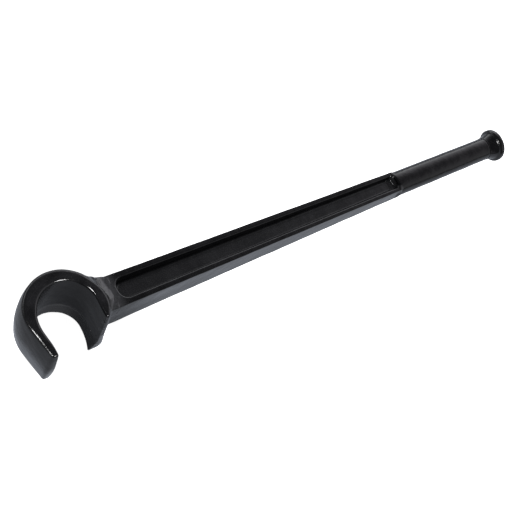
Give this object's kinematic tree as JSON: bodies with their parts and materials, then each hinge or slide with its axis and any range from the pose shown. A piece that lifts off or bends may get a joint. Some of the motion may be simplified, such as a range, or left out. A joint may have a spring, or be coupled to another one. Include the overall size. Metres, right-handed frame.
{
  "type": "fire hydrant wrench",
  "caption": "Hydrant wrench with an open C-shaped hook, a long tapering arm recessed on both faces, a round grip and a flared end knob.",
  "frame": {"origin": "centre of the hook's bore, at the mid-plane of the arm", "axes": "+X along the arm from the hook to the end knob, +Z along the bore's axis out of the hook's top face, and the hook's mouth opens towards -Y"},
  "size_m": [0.61, 0.0856, 0.07],
  "materials": {
    "enamel": "gloss black enamel over a casting",
    "enamel_over_weld": "gloss black enamel over a weld bead"
  },
  "bodies": {
    "root": {"hook_head": "enamel", "arm": "enamel", "root_weld": "enamel_over_weld", "grip_bar": "enamel", "grip_weld": "enamel_over_weld", "end_knob": "enamel", "knob_weld": "enamel_over_weld"}
  },
  "joints": []
}
